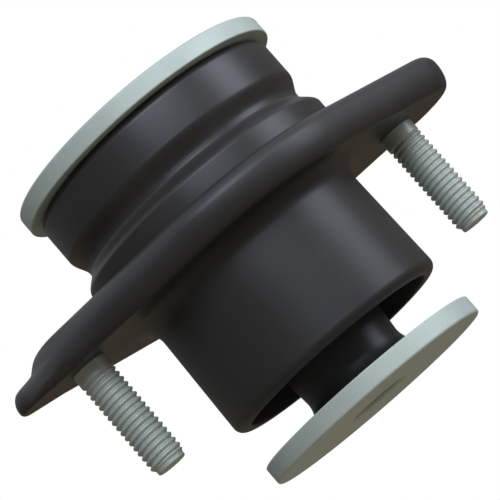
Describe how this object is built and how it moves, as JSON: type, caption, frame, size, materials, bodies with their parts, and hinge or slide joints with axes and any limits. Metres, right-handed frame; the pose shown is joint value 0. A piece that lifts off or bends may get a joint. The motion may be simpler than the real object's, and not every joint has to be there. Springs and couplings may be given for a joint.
{
  "type": "cab mount bushing",
  "caption": "Rubber cab mount bushing: a grooved cushion and waisted stem bonded between plated discs, held in a black stud flange with an open can below.",
  "frame": {"origin": "middle between the two studs, on the flange's underside", "axes": "+Z along the centre bolt's axis to the large top plate, +X along the line of the studs to the flange's full-height end"},
  "size_m": [0.1415, 0.084, 0.091],
  "materials": {
    "zinc_plate": "dull zinc plating",
    "zinc_stud": "dull zinc plating",
    "sleeve_steel": "plain drawn steel",
    "black_paint": "satin black",
    "black_rubber": "satin moulded rubber"
  },
  "bodies": {
    "root": {"top_plate": "zinc_plate", "rubber_body": "black_rubber", "flange_housing": "black_paint", "studs": "zinc_stud", "inner_sleeve": "sleeve_steel", "bottom_plate": "zinc_plate"}
  },
  "joints": []
}
